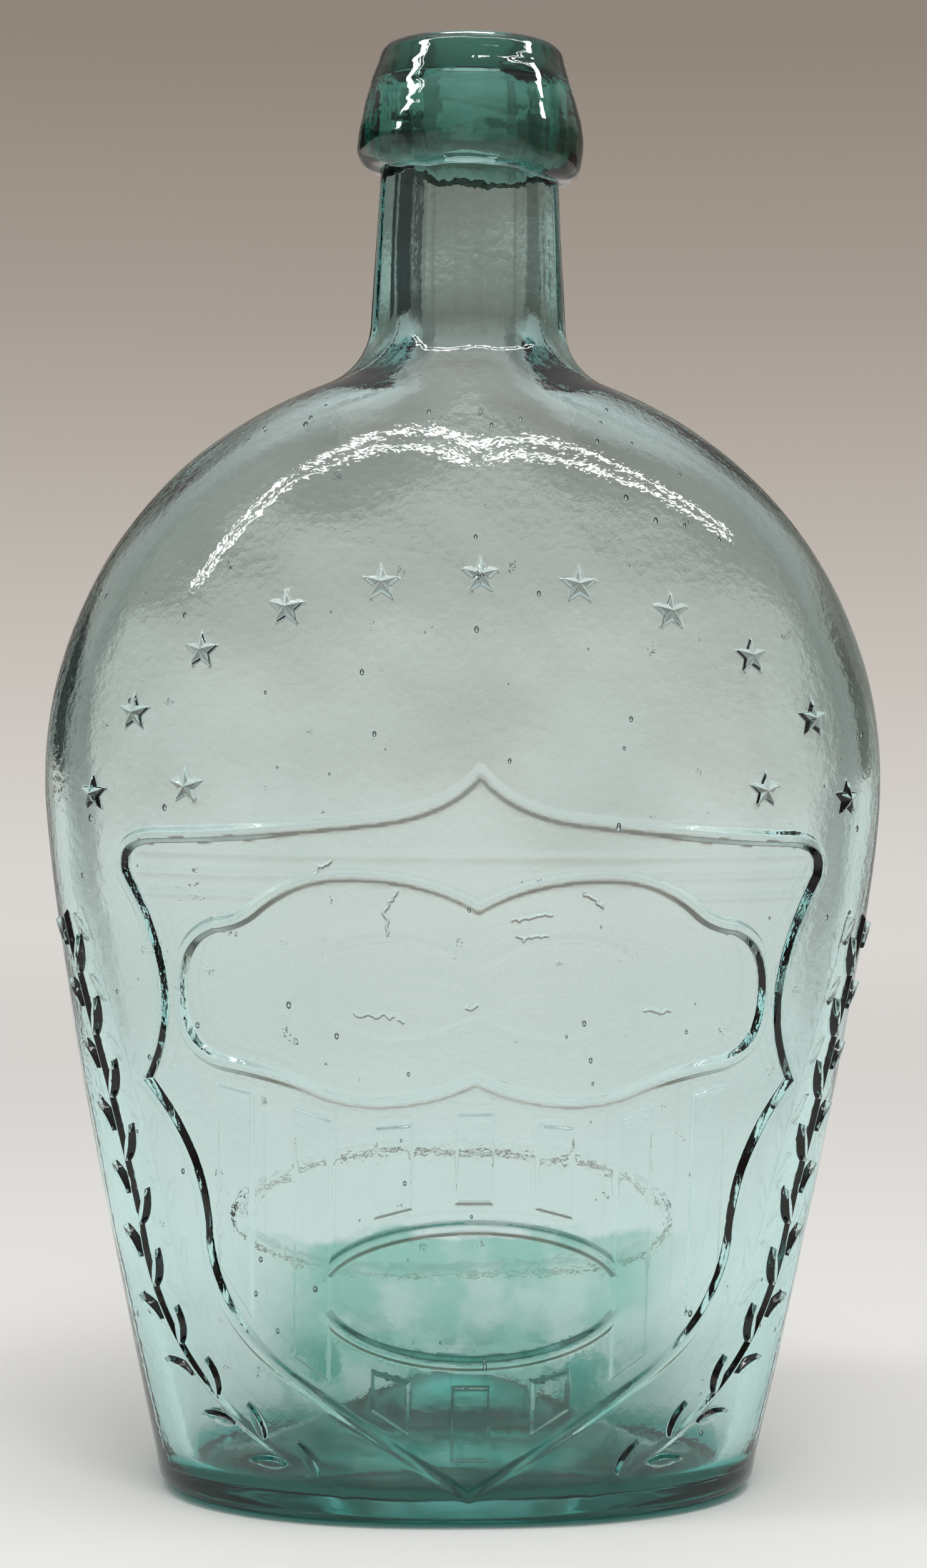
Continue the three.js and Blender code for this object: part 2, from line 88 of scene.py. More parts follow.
# Relief
RIDGE_WIDTH = 2.4
RIDGE_HEIGHT = 1.2
FINE_RIDGE_WIDTH = 1.6
FINE_RIDGE_HEIGHT = 0.6
SHARP_FLANK = 0.7  # width of a ridge's side near the sides of the body
SOFT_FLANK = 1.1  # and in the middle of a face, where the relief is softer
SOFT_SHARE = 0.24  # height of soft relief as a share of sharp relief
SOFT_REACH = 24  # the relief is soft up to this distance from the middle of a face
SHARP_REACH = 42  # and sharp from here on
SHIELD_WIDTH = 107
SHIELD_HEIGHT = 107
SHIELD_TIP_HEIGHT = 5
RIB_COUNT = 3
RIB_PITCH = 3
RIB_DROP = 12.2
BAR_COUNT = 7
BAR_PITCH = 11.7
BAR_WIDTH = 5.8
BAR_HEIGHT = 0.45
BAR_SLOPE = 0.6  # width of a bar's sloping edge
BAR_MARGIN = 3.4
FRAME_WIDTH = 88
FRAME_HEIGHT = 33
FRAME_FOOT_HEIGHT = 64
OVAL_WIDTH = 45
OVAL_HEIGHT = 20.5
OVAL_CENTRE_HEIGHT = 35.5
OVAL_SHARPNESS = 0.3
BACK_OVAL_WIDTH = 74
BACK_SHARPNESS = 0.12
STAR_RADIUS = 2.9
STAR_WAIST = 0.45
STAR_RISE = 1.1
STARS_EACH_SIDE = 5
STAR_PITCH = 14.3
STAR_ARC_WIDTH = 125
STAR_ARC_RISE = 46
STAR_ARC_CENTRE_HEIGHT = 94
LOWER_STAR_OFFSET = 42.9
LOWER_STAR_HEIGHT = 109.4
LAUREL_HEIGHT = 84
LAUREL_SPREAD = 51
LAUREL_FOOT_OFFSET = 18
LAUREL_FOOT_HEIGHT = 5
LEAF_LENGTH = 6
LEAF_WIDTH = 2.3
LEAF_RISE = 1
LEAF_PITCH = 4.9
LEAF_STALK = 0.6
LEAF_SPLAY = 0.5
MOULD_SEAM_WIDTH = 0.9
MOULD_SEAM_HEIGHT = 0.15

# Crooked flaws in the front: distance from the middle, height, length and heading in degrees
FLAWS = [
    (-13, 88, 8, 88),
    (4, 90.5, 7, 4),
    (5, 88.5, 6, -3),
    (15, 94.5, 5, -14),
    (-24, 97, 4, 40),
    (-18, 77.5, 9, -6),
    (-2, 77.8, 3, -4),
    (24, 77.5, 5, 6),
]
FLAW_WIDTH = 0.6
FLAW_HEIGHT = 0.6
FLAW_STEP = 0.5

# Waves in the glass: height, distance between crests and random seed
OUTER_WAVES = [(0.08, 34, 1), (0.02, 12, 2)]
INNER_WAVES = [(0.12, 30, 3), (0.03, 11, 4)]
RELIEF_WAVES = [(0.05, 9, 5)]  # height as a share of the relief's
DROOP_WAVES = [(0.35, 24, 23), (0.15, 9, 24)]
DROOP_RADIUS = 20  # of the circle that the droop's waves are measured on
NECK_STREAKS = (5, 8, 13, 19, 27)  # streaks round the neck, in each set
STREAK_HEIGHT = 0.02

# Tool marks of the collar: height, shrinkage sideways, distance between crests and seed
COLLAR_WAVES = [(0.07, 0.25, 3.2, 21), (0.16, 1, 14, 22), (0.015, 0.2, 1.2, 25)]

# Seeds, the small bubbles in the wall
SEED_COUNT = 240
SEED_DEPTHS = (0.25, 0.75)  # as shares of the wall
SEED_RADII = (0.12, 0.4)
SEED_STRETCH = 1.5  # upwards

# Glass: tint, density of the tint and fineness of the ripples
BODY_GLASS = ((0.12, 0.85, 0.82), 40, 700)
COLLAR_GLASS = ((0.05, 0.48, 0.39), 310, 500)
GLASS_BENDING = 1.5  # index of refraction
RIPPLE_STRENGTH = 0.15
RIPPLE_DEPTH = 0.0002
HAZE_ROUGHNESS = 0.05
HAZE_TOP = (0.175, 0.165)  # the haze fades out between these heights, in metres

# Dirt and painted shade; each pair is where it begins and where it is full, in metres
# The film is partly residue and partly painted shade: below its ragged top it darkens the inside of the
# front, in place of the flask's shadow on the floor behind, seen through the glass
FILM_AND_SHADE_COLOUR = (0.2, 0.53, 0.43, 1)
FILM_AND_SHADE_ROUGHNESS = 0.08
# Painted shade: this colour also darkens the bottom of the base, in place of the contact shade under it
GRIME_AND_SHADE_COLOUR = (0.05, 0.42, 0.36, 1)
GRIME_AND_SHADE_ROUGHNESS = 0.12
DIRT_AND_SHADE_HALF_WIDTH = (0.036, 0.02)
TIDE_AND_SHADE_LINE = (0.051, 0.0495)
TIDE_RAGGEDNESS = 0.012
GRIME_LINE = (0.03, 0.016)
# Painted contact shade at the bottom of the base
BASE_SHADE_LINE = (0.006, 0.001)

# Mesh density
COLUMNS = 224
RING_STEP = 1.5
INNER_RING_STEP = 3.2
RELIEF_CUTS = 2  # extra cuts through each face near relief
STEEP_CUTS = 4  # further cuts where the relief is steep
STEEP_RISE = 0.13  # a face is steep if its corners differ by more than this
GIRTH_STEPS = 360
CURVE_STEPS = 24
COLLAR_COLUMNS = 160
COLLAR_STEP = 0.3
SEAM_TURN = -0.6  # where the flat layout is cut open, clear of all relief

# Tube lamps in metres: name, x, y, length and turn in degrees
TUBES = [
    ("right_tube", 0.445, -0.2, 0.87, 25),
    ("middle_tube", -0.18, -0.26, 0.53, -29),
    ("left_tube", -0.68, -0.24, 0.58, 22),
]
TUBE_HEIGHT = 0.85
TUBE_GAP = 0.06
TUBE_WIDTH = 0.02
TUBE_GLOW = 60  # watts per square metre

# Soft strips at both sides that only the collar mirrors, given as the tubes are
COLLAR_STRIPS = [
    ("left_strip", -1.06, -0.14, 1.13, 0),
    ("right_strip", 1.13, -0.065, 1.0, -12),
]
STRIP_WIDTH = 0.16
TOP_STRIP_SIZE = (0.5, 0.3)

# Floor disc
FLOOR_RADIUS = 1.2
FLOOR_DROP = 0.0002  # below the base, so that they don't share a plane
FLOOR_COLOUR = (0.80, 0.785, 0.765, 1)
FLOOR_FADE = (0.13, 0.75)  # where the disc fades out, as shares of its radius

# Backdrop: the sine of the height above the horizon, and the colour there
BACKDROP = [
    (-1.0, (0.72, 0.69, 0.66)),
    (-0.2, (0.74, 0.715, 0.68)),
    (-0.08, (0.70, 0.672, 0.64)),
    (0.0, (0.565, 0.52, 0.475)),
    (0.1, (0.385, 0.338, 0.295)),
    (0.19, (0.28, 0.235, 0.195)),
    (0.32, (0.33, 0.31, 0.29)),
    (0.6, (0.45, 0.44, 0.43)),
    (1.0, (0.85, 0.85, 0.85)),
]
SHADE_COLOUR = (0.03, 0.03, 0.03, 1)
ROOM_COLOUR = (1, 0.985, 0.965, 1)
ROOM_STRENGTH = 0.46

# Camera, in metres and degrees
VIEW_AZIMUTH = 3.5  # to the left of the middle of the front
CAMERA_DISTANCE = 0.48
CAMERA_HEIGHT = 0.131
CAMERA_DROP = 2.69  # how far it looks down
CAMERA_ROLL = 0.6
SENSOR_SIZE = 36
PICTURE_HEIGHT = 2511  # in pixels
FOCAL_LENGTH = 4961.4  # in the same pixels

NECK_FOOT_HEIGHT = WIDEST_HEIGHT + SHOULDER_RISE
COLLAR_FOOT = NECK_FOOT_HEIGHT + NECK_LENGTH
LIP_TOP = COLLAR_FOOT + COLLAR_HEIGHT
NECK_END = LIP_TOP - COLLAR_CROWN


def neck_radius(height):
    share = (height - NECK_FOOT_HEIGHT) / (NECK_END - NECK_FOOT_HEIGHT)
    return NECK_FOOT_RADIUS + (NECK_END_RADIUS - NECK_FOOT_RADIUS) * share


def smooth_step(value, low, high):
    share = np.clip((value - low) / (high - low), 0, 1)
    return share * share * (3 - 2 * share)


def chain(start, legs):
    """Points along quadratic curves joined end to end; each leg is (control, end)."""
    points = [np.array([start], float)]
    share = np.arange(1, CURVE_STEPS + 1)[:, None] / CURVE_STEPS
    for control, end in legs:
        first = points[-1][-1]
        pull = 2 * share * (1 - share) * np.array(control)
        points.append((1 - share) ** 2 * first + pull + share**2 * np.array(end))
    return np.concatenate(points)


def arc(centre, radius, first, last):
    angle = np.linspace(first, last, CURVE_STEPS + 1)[1:]
    return np.column_stack([centre[0] + radius * np.cos(angle), centre[1] + radius * np.sin(angle)])


def walked(points):
    """Distance along a line of points from its start to each point."""
    return np.concatenate([[0], np.cumsum(np.linalg.norm(np.diff(points, axis=0), axis=1))])


def evenly(points, step):
    """The same line with points at an even step."""
    distance = walked(points)
    stops = np.linspace(0, distance[-1], max(2, round(distance[-1] / step) + 1))
    return np.column_stack([np.interp(stops, distance, column) for column in points.T])


def waves(points, length, seed, count=24):
    """Smooth random swells about as high as 1, with crests about one length apart."""
    random = np.random.default_rng(seed)
    ways = random.normal(size=(count, points.shape[1]))
    ways /= np.linalg.norm(ways, axis=1)[:, None]
    ways *= (2 * math.pi / length) * random.uniform(0.6, 1.4, count)[:, None]
    starts = random.uniform(0, 2 * math.pi, count)
    total = sum(np.sin(points @ way + start) for way, start in zip(ways, starts))
    return total / math.sqrt(count)


def swells(points, table):
    return sum(height * waves(points, length, seed) for height, length, seed in table)


def shoulder_radius(widest):
    """Radius of the arc that meets both the widest line and the fillet at the foot of the neck."""
    reach = NECK_FOOT_RADIUS + NECK_FILLET - widest
    return (reach**2 - NECK_FILLET**2 + SHOULDER_RISE**2) / (2 * (NECK_FILLET - reach))


def half_outline(base, widest, radius, floor, heel, fillet, foot, end, top):
    """Heel, flank, shoulder, fillet and neck in one view, as points of (half size, height)."""
    across = foot + fillet - widest + radius
    rise = math.sqrt((radius + fillet) ** 2 - across**2)
    turn = math.atan2(rise, across)
    heel_leg = ((base, floor), (base, floor + heel))
    flank_leg = ((widest, WIDEST_HEIGHT - FLANK_BEND), (widest, WIDEST_HEIGHT))
    lower = chain((base - heel, floor), [heel_leg, flank_leg])
    shoulder = arc((widest - radius, WIDEST_HEIGHT), radius, 0, turn)
    throat = arc((foot + fillet, WIDEST_HEIGHT + rise), fillet, turn + math.pi, math.pi)
    return np.concatenate([lower, shoulder, throat, [(end, top)]])


def rings_up(front, side, step):
    """Rings of (half width, half depth, height) up a front outline and the side outline beside it."""
    line = evenly(front, step)
    depth = np.interp(line[:, 1], side[:, 1], side[:, 0])
    return np.column_stack([line[:, 0], depth, line[:, 1]])


def outer_rings():
    neck = {"fillet": NECK_FILLET, "foot": NECK_FOOT_RADIUS, "end": NECK_END_RADIUS, "top": NECK_END}
    outlines = []
    for base, widest in ((BASE_WIDTH / 2, BODY_WIDTH / 2), (BASE_DEPTH / 2, BODY_DEPTH / 2)):
        outlines.append(half_outline(base, widest, shoulder_radius(widest), 0, HEEL_ROUND, **neck))
    return rings_up(*outlines, RING_STEP)


def inner_rings(outer):
    bore = {"foot": BORE_FOOT_RADIUS, "end": BORE_END_RADIUS, "top": NECK_END}
    outlines = []
    for axis, widest in enumerate((BODY_WIDTH / 2, BODY_DEPTH / 2)):
        base = np.interp(FLOOR_THICKNESS + INNER_HEEL_ROUND, outer[:, 2], outer[:, axis]) - HEEL_WALL
        radius = shoulder_radius(widest) - BODY_WALL
        heel = {"floor": FLOOR_THICKNESS, "heel": INNER_HEEL_ROUND, "fillet": NECK_FILLET + BODY_WALL}
        outlines.append(half_outline(base, widest - BODY_WALL, radius, **heel, **bore))
    return rings_up(*outlines, INNER_RING_STEP)


def hollow_rings():
    """The hollow under the base, from its middle out to the ring that the flask stands on."""
    size = np.array([BASE_WIDTH, BASE_DEPTH]) / 2 - HEEL_ROUND - BEARING_WIDTH
    shares = np.linspace(0.02, 1, 14)[:, None]
    return np.hstack([size * shares, PUSH_UP * (1 - shares**2) ** 2])


def floor_rings(foot):
    """The inside floor, from the foot of the inner wall to its middle."""
    shares = np.linspace(0.95, 0.02, 18)[:, None]
    return np.hstack([foot[:2] * shares, foot[2] + FLOOR_MOUND * (1 - shares**2) ** 2])


class Skin:
    """The whole smooth skin of the body, outside and inside, by turn and row."""

    def __init__(self):
        outer = outer_rings()
        inner = inner_rings(outer)[::-1]
        rim = [[radius, radius, NECK_END] for radius in (NECK_END_RADIUS - 0.1, BORE_END_RADIUS + 0.1)]
        hollow = hollow_rings()
        self.rings = np.concatenate([hollow, outer, rim, inner, floor_rings(inner[-1])])
        self.outer_rows = (len(hollow), len(hollow) + len(outer))
        self.inner_row = len(hollow) + len(outer) + len(rim)
        roundness = smooth_step(self.rings[:, 2], WIDEST_HEIGHT, NECK_FOOT_HEIGHT)
        self.power = 2 / (SECTION_POWER + (2 - SECTION_POWER) * roundness)
        self.half_girth, self.angles = self.measure_girths()

    def measure_girths(self):
        angle = np.linspace(0, math.pi, GIRTH_STEPS + 1)
        shares = np.linspace(0, 1, GIRTH_STEPS + 1)
        girths = []
        angles = []
        for row in range(len(self.rings)):
            distance = walked(self.section(angle, np.full_like(angle, row)))
            girths.append(distance[-1])
            angles.append(np.interp(shares, distance / distance[-1], angle))
        return np.array(girths), np.array(angles)

    def at_row(self, table, row):
        low = np.clip(np.floor(row).astype(int), 0, len(table) - 2)
        share = (row - low).reshape(-1, *[1] * (table.ndim - 1))
        return table[low] * (1 - share) + table[low + 1] * share

    def section(self, angle, row):
        width, depth, height = self.at_row(self.rings, row).T
        power = self.at_row(self.power, row)
        across = np.sin(angle)
        along = -np.cos(angle)
        x = width * np.sign(across) * np.abs(across) ** power
        y = depth * np.sign(along) * np.abs(along) ** power
        return np.column_stack([x, y, height])

    def spot(self, turn, row):
        turn = (turn + 1) % 2 - 1
        column = np.abs(turn) * GIRTH_STEPS
        left = np.clip(np.floor(column).astype(int), 0, GIRTH_STEPS - 1)
        share = column - left
        low = np.clip(np.floor(row).astype(int), 0, len(self.rings) - 2)
        rise = row - low
        below = self.angles[low, left] * (1 - share) + self.angles[low, left + 1] * share
        above = self.angles[low + 1, left] * (1 - share) + self.angles[low + 1, left + 1] * share
        angle = below * (1 - rise) + above * rise
        return self.section(angle * np.sign(turn), row)

    def normal(self, turn, row):
        across = self.spot(turn + 1e-3, row) - self.spot(turn - 1e-3, row)
        ahead = np.minimum(row + 0.1, len(self.rings) - 1)
        behind = np.maximum(row - 0.1, 0)
        onward = self.spot(turn, ahead) - self.spot(turn, behind)
        facing = np.cross(across, onward)
        return facing / np.maximum(np.linalg.norm(facing, axis=1), 1e-12)[:, None]

    def layout(self, turn, row):
        """Distance round the body from the middle of the front, and height."""
        turn = (turn + 1) % 2 - 1
        return turn * self.at_row(self.half_girth, row), self.at_row(self.rings, row)[:, 2]

    def is_outside(self, row):
        return (row >= self.outer_rows[0]) & (row <= self.outer_rows[1] - 1)


def mirrored_half(start, legs, width, height, foot):
    return chain(start, legs) * [width / 2, height] + [0, foot]


def shield_half():
    legs = [
        ((0.09, 0.945), (0.28, 0.934)),
        ((0.6, 0.915), (0.89, 0.909)),
        ((1.03, 0.905), (1, 0.853)),
        ((0.79, 0.69), (0.942, 0.57)),
        ((0.75, 0.48), (0.746, 0.355)),
        ((0.715, 0.23), (0.46, 0.152)),
        ((0.2, 0.065), (0, 0)),
    ]
    return mirrored_half((0, 1), legs, SHIELD_WIDTH, SHIELD_HEIGHT, SHIELD_TIP_HEIGHT)


def frame_half():
    legs = [
        ((0.16, 0.99), (0.386, 1)),
        ((0.6, 1.01), (0.736, 0.848)),
        ((0.79, 0.785), (0.87, 0.775)),
        ((1, 0.72), (1, 0.485)),
        ((1, 0.2), (0.825, 0.158)),
        ((0.65, 0.125), (0.5, 0.036)),
        ((0.36, -0.02), (0.227, 0.012)),
        ((0.11, 0.03), (0, 0.106)),
    ]
    return mirrored_half((0, 0.864), legs, FRAME_WIDTH, FRAME_HEIGHT, FRAME_FOOT_HEIGHT)


def oval_half(width):
    angle = np.linspace(math.pi / 2, -math.pi / 2, 4 * CURVE_STEPS)
    up = OVAL_CENTRE_HEIGHT + OVAL_HEIGHT / 2 * np.sin(angle)
    return np.column_stack([width / 2 * np.cos(angle), up])


def line_distance(spots, line):
    nearest = np.full(len(spots), np.inf)
    for start, end in zip(line[:-1], line[1:]):
        leg = end - start
        share = np.clip((spots - start) @ leg / (leg @ leg), 0, 1)
        nearest = np.minimum(nearest, np.linalg.norm(spots - start - share[:, None] * leg, axis=1))
    return nearest


def near(spots, points, margin):
    low = np.min(points, axis=0) - margin
    high = np.max(points, axis=0) + margin
    return np.all((spots > low) & (spots < high), axis=1)


def crossings(line, position, axis):
    """Where a line of points crosses a position on one axis, measured on the other."""
    found = []
    for start, end in zip(line[:-1], line[1:]):
        if (start[axis] <= position) != (end[axis] <= position):
            share = (position - start[axis]) / (end[axis] - start[axis])
            found.append(start[1 - axis] + share * (end[1 - axis] - start[1 - axis]))
    return sorted(found)


class Relief:
    """Heights of the raised work over a set of layout spots. Grow widens every shape."""

    def __init__(self, spots, grow=0.0):
        self.spots = spots
        self.grow = grow
        self.rise = np.zeros(len(spots))
        self.sharpness = smooth_step(spots[:, 0], SOFT_REACH, SHARP_REACH)

    def lift(self, where, heights):
        self.rise[where] = np.maximum(self.rise[where], heights)

    def ridge(self, line, width, height, sharpest=1.0, softest=0.0):
        half = width / 2 + self.grow
        where = near(self.spots, line, half)
        inward = half - line_distance(self.spots[where], line)
        sharp = np.clip(inward / SHARP_FLANK, 0, 1)
        soft = SOFT_SHARE * smooth_step(inward, 0, SOFT_FLANK)
        sharpness = softest + (sharpest - softest) * self.sharpness[where]
        self.lift(where, height * (soft + (sharp - soft) * sharpness))

    def bar(self, middle, floors, tops):
        sides = [middle - BAR_WIDTH / 2, middle + BAR_WIDTH / 2]
        across, up = self.spots.T
        ends = [up - np.interp(across, sides, floors), np.interp(across, sides, tops) - up]
        edges = [across - sides[0], sides[1] - across]
        depth = np.min([*ends, *edges], axis=0) + self.grow
        self.lift(np.full(len(depth), True), BAR_HEIGHT * smooth_step(depth, 0, BAR_SLOPE))

    def star(self, centre):
        where = near(self.spots, [centre], STAR_RADIUS + self.grow)
        across, up = (self.spots[where] - centre).T
        sector = 2 * math.pi / 5
        angle = np.abs((np.arctan2(across, up) + sector / 2) % sector - sector / 2)
        waist = STAR_WAIST * np.array([math.cos(sector / 2), math.sin(sector / 2)])
        facet = np.array([waist[1], 1 - waist[0]]) / waist[1]
        reach = np.hypot(across, up) / (STAR_RADIUS + self.grow)
        gauge = reach * (np.cos(angle) * facet[0] + np.sin(angle) * facet[1])
        edge = 0.4 * smooth_step(1 - gauge, 0, 0.2)
        self.lift(where, STAR_RISE * (edge + 0.6 * np.clip(1 - gauge, 0, 1)))

    def leaf(self, foot, direction):
        where = near(self.spots, [foot, foot + direction * LEAF_LENGTH], LEAF_WIDTH + self.grow)
        offset = self.spots[where] - foot
        along = np.clip((offset @ direction + self.grow) / (LEAF_LENGTH + 2 * self.grow), 0, 1)
        across = offset @ np.array([-direction[1], direction[0]])
        half = (LEAF_WIDTH / 2 + self.grow) * np.sin(math.pi * along**0.8) ** 0.8
        gauge = np.abs(across) / np.maximum(half, 1e-6)
        self.lift(where, LEAF_RISE * smooth_step(1 - gauge, 0, 0.7))


def add_shield(relief):
    shield = shield_half()
    inner_frame = frame_half()
    oval = oval_half(OVAL_WIDTH)
    for line in (shield, inner_frame):
        relief.ridge(line, RIDGE_WIDTH, RIDGE_HEIGHT)
    relief.ridge(oval, RIDGE_WIDTH, RIDGE_HEIGHT, softest=OVAL_SHARPNESS)
    for row in range(RIB_COUNT):
        height = SHIELD_TIP_HEIGHT + SHIELD_HEIGHT - RIB_DROP - row * RIB_PITCH
        end = crossings(shield, height, 1)[-1] - RIDGE_WIDTH
        hits = crossings(inner_frame, height, 1)
        start = hits[-1] + RIDGE_WIDTH if hits else 0
        rib = np.array([[start, height], [end, height]])
        relief.ridge(rib, FINE_RIDGE_WIDTH, FINE_RIDGE_HEIGHT, 0.0)
    for index in range((BAR_COUNT + 1) // 2):
        add_bar(relief, index * BAR_PITCH, shield, inner_frame, oval)


def add_bar(relief, middle, shield, inner_frame, oval):
    sides = np.abs([middle - BAR_WIDTH / 2, middle + BAR_WIDTH / 2])
    floors = [crossings(shield, side, 0)[0] + BAR_MARGIN for side in sides]
    tops = [crossings(inner_frame, side, 0)[0] - BAR_MARGIN for side in sides]
    holes = [crossings(oval, side, 0) for side in sides]
    if all(len(hole) == 2 for hole in holes):
        relief.bar(middle, [hole[1] + BAR_MARGIN for hole in holes], tops)
        relief.bar(middle, floors, [hole[0] - BAR_MARGIN for hole in holes])
    else:
        relief.bar(middle, floors, tops)


def add_hands(relief):
    """Two clasped hands in the frame, worn so low that only faint strokes are left."""
    palm = chain((0, 76.5), [((8, 72.5), (14, 73.2)), ((18, 74), (22, 76))])
    knuckles = chain((0, 84), [((6, 88), (14, 88)), ((18, 88), (22, 85.5))])
    cuff = chain((22, 74), [((23.5, 80.5), (22, 87.5))])
    fingers = []
    for height in (77, 79.3, 81.6):
        fingers.append(chain((3, height), [((6, height + 1.4), (9.5, height + 1))]))
    for line in (palm, knuckles, cuff, *fingers):
        relief.ridge(line, FINE_RIDGE_WIDTH, FINE_RIDGE_HEIGHT, 0.0)


def add_stars(relief):
    angle = np.linspace(math.pi / 2, -math.pi / 2, 400)
    up = STAR_ARC_CENTRE_HEIGHT + STAR_ARC_RISE * np.sin(angle)
    arch = np.column_stack([STAR_ARC_WIDTH / 2 * np.cos(angle), up])
    distance = walked(arch)
    for index in range(STARS_EACH_SIDE + 1):
        relief.star(np.array([np.interp(index * STAR_PITCH, distance, column) for column in arch.T]))
    relief.star(np.array([LOWER_STAR_OFFSET, LOWER_STAR_HEIGHT]))


def heading_vector(angle):
    return np.array([math.cos(angle), math.sin(angle)])


def add_laurel(relief):
    legs = [((0.57, 0.167), (0.667, 0.417)), ((0.745, 0.655), (1, 1))]
    stem = chain((0, 0), legs) * [LAUREL_SPREAD, LAUREL_HEIGHT]
    stem = stem + [LAUREL_FOOT_OFFSET, LAUREL_FOOT_HEIGHT]
    relief.ridge(stem, FINE_RIDGE_WIDTH, FINE_RIDGE_HEIGHT)
    distance = walked(stem)
    for index in range(1, int(distance[-1] / LEAF_PITCH) + 1):
        hand = 1 if index % 2 else -1
        foot, ahead = [np.array([np.interp(stop, distance, column) for column in stem.T])
                       for stop in (index * LEAF_PITCH, index * LEAF_PITCH + 0.5)]
        along = ahead - foot
        heading = math.atan2(along[1], along[0])
        aside = heading_vector(heading + hand * math.pi / 2)
        relief.leaf(foot + aside * LEAF_STALK, heading_vector(heading + hand * LEAF_SPLAY))


def add_flaws(relief):
    for seed, (across, height, length, heading) in enumerate(FLAWS):
        wander = np.random.default_rng(seed).normal(0, 0.6, round(length / FLAW_STEP))
        turns = math.radians(heading) + wander
        legs = FLAW_STEP * np.column_stack([np.cos(turns), np.sin(turns)])
        line = np.array([across, height]) + np.cumsum(legs, axis=0)
        relief.ridge(line, FLAW_WIDTH, FLAW_HEIGHT, softest=1.0)


def relief_heights(distance, height, half_girth, grow=0.0):
    """Height of the relief over the wall: the front's, mirrored but for flaws, and the back's."""
    front = Relief(np.column_stack([np.abs(distance), height]), grow)
    add_shield(front)
    add_hands(front)
    add_stars(front)
    add_laurel(front)
    back = Relief(np.column_stack([half_girth - np.abs(distance), height]), grow)
    back.ridge(oval_half(BACK_OVAL_WIDTH), RIDGE_WIDTH, RIDGE_HEIGHT, BACK_SHARPNESS, BACK_SHARPNESS)
    flaws = Relief(np.column_stack([distance, height]), grow)
    add_flaws(flaws)
    seam = np.abs(np.abs(distance) - half_girth / 2)
    seam_rise = MOULD_SEAM_HEIGHT * np.clip(1 - seam / (MOULD_SEAM_WIDTH / 2 + grow), 0, 1)
    seam_rise *= 1 - smooth_step(height, NECK_FOOT_HEIGHT, COLLAR_FOOT)
    return np.maximum.reduce([front.rise, back.rise, flaws.rise, seam_rise])


def flat_sheet(skin):
    """The layout as a mesh of (turn, row) points, closed round the body and at both ends."""
    sheet = bmesh.new()
    turns = [SEAM_TURN + 2 * column / COLUMNS for column in range(COLUMNS)]
    grid = [[sheet.verts.new((turn, row, 0)) for turn in turns] for row in range(len(skin.rings))]
    for low, high in zip(grid[:-1], grid[1:]):
        for column in range(COLUMNS):
            after = (column + 1) % COLUMNS
            sheet.faces.new((low[column], low[after], high[after], high[column]))
    sheet.faces.new(grid[0][::-1])
    sheet.faces.new(grid[-1])
    return sheet


def sheet_points(sheet):
    points = np.array([vertex.co[:2] for vertex in sheet.verts])
    return points[:, 0], points[:, 1]


def cut_faces(sheet, is_marked, cuts):
    """Cuts the marked faces into smaller ones; the mark is read off a face's corner numbers."""
    sheet.verts.index_update()
    faces = [face for face in sheet.faces if len(face.verts) < COLUMNS]
    marked = [face for face in faces if is_marked([vertex.index for vertex in face.verts])]
    edges = {edge for face in marked for edge in face.edges}
    bmesh.ops.subdivide_edges(sheet, edges=list(edges), cuts=cuts, use_grid_fill=True)


def refine_relief(sheet, skin):
    """Makes the mesh finer near relief, and finer again on its steep sides."""
    near_rise = outside_relief(skin, *sheet_points(sheet), grow=RING_STEP)
    cut_faces(sheet, lambda corners: near_rise[corners].max() > 0, RELIEF_CUTS)
    rise = outside_relief(skin, *sheet_points(sheet))
    cut_faces(sheet, lambda corners: np.ptp(rise[corners]) > STEEP_RISE, STEEP_CUTS)


def outside_relief(skin, turn, row, grow=0.0):
    rise = np.zeros(len(turn))
    outside = skin.is_outside(row)
    distance, height = skin.layout(turn[outside], row[outside])
    rise[outside] = relief_heights(distance, height, skin.at_row(skin.half_girth, row[outside]), grow)
    return rise


def body_points(skin, turn, row):
    """Every point of the body: the smooth skin, its waves and its relief."""
    points = skin.spot(turn, row)
    inside = row >= skin.inner_row
    swell = np.where(inside, swells(points, INNER_WAVES), swells(points, OUTER_WAVES))
    standing = (points[:, 2] < 1) & ~inside
    swell = np.where(standing, 0, swell)
    around = np.arctan2(points[:, 0], -points[:, 1])
    streak = sum(np.sin(count * around + count**2) for count in NECK_STREAKS) * STREAK_HEIGHT
    swell += streak * smooth_step(points[:, 2], NECK_FOOT_HEIGHT - 8, NECK_FOOT_HEIGHT + 6)
    held = smooth_step(points[:, 2], NECK_END - 3, NECK_END)
    rise = outside_relief(skin, turn, row) * (1 + swells(points, RELIEF_WAVES))
    return points + skin.normal(turn, row) * (swell * (1 - held) + rise)[:, None]


def make_object(name, points, faces):
    mesh = bpy.data.meshes.new(name)
    mesh.from_pydata((points * MM).tolist(), [], faces)
    mesh.polygons.foreach_set("use_smooth", [True] * len(mesh.polygons))
    mesh.update()
    piece = bpy.data.objects.new(name, mesh)
    bpy.context.scene.collection.objects.link(piece)
    return piece


